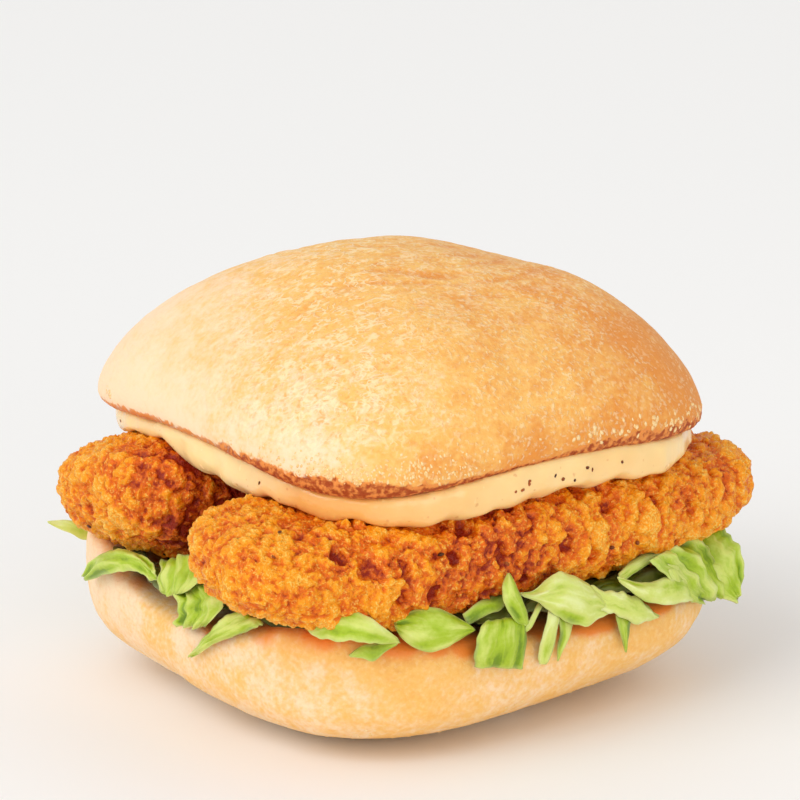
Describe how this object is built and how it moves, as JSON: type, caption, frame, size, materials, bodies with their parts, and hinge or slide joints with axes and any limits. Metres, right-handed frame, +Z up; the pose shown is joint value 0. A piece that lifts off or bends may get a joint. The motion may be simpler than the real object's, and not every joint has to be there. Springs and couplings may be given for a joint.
{
  "type": "chicken burger",
  "caption": "Square bread roll filled with breaded chicken fillets, peppered mayonnaise and shredded lettuce, standing on its flat base.",
  "frame": {"origin": "middle of the flat underside of the heel", "axes": "+Z up, +X along the chicken fillets, -Y towards the side with the front fillet"},
  "size_m": [0.1272, 0.1109, 0.0863],
  "materials": {
    "bread_crust": "dry baked crust, cream to golden, dusted with semolina",
    "fried_breading": "rough fried crumb, slightly oily",
    "mayonnaise": "smooth and glossy, with pepper specks",
    "lettuce_leaf": "fresh cut leaf, satin"
  },
  "bodies": {
    "root": {"crown": "bread_crust", "heel": "bread_crust", "fillet_front": "fried_breading", "fillet_rear": "fried_breading", "sauce": "mayonnaise", "lettuce": "lettuce_leaf"}
  },
  "joints": []
}
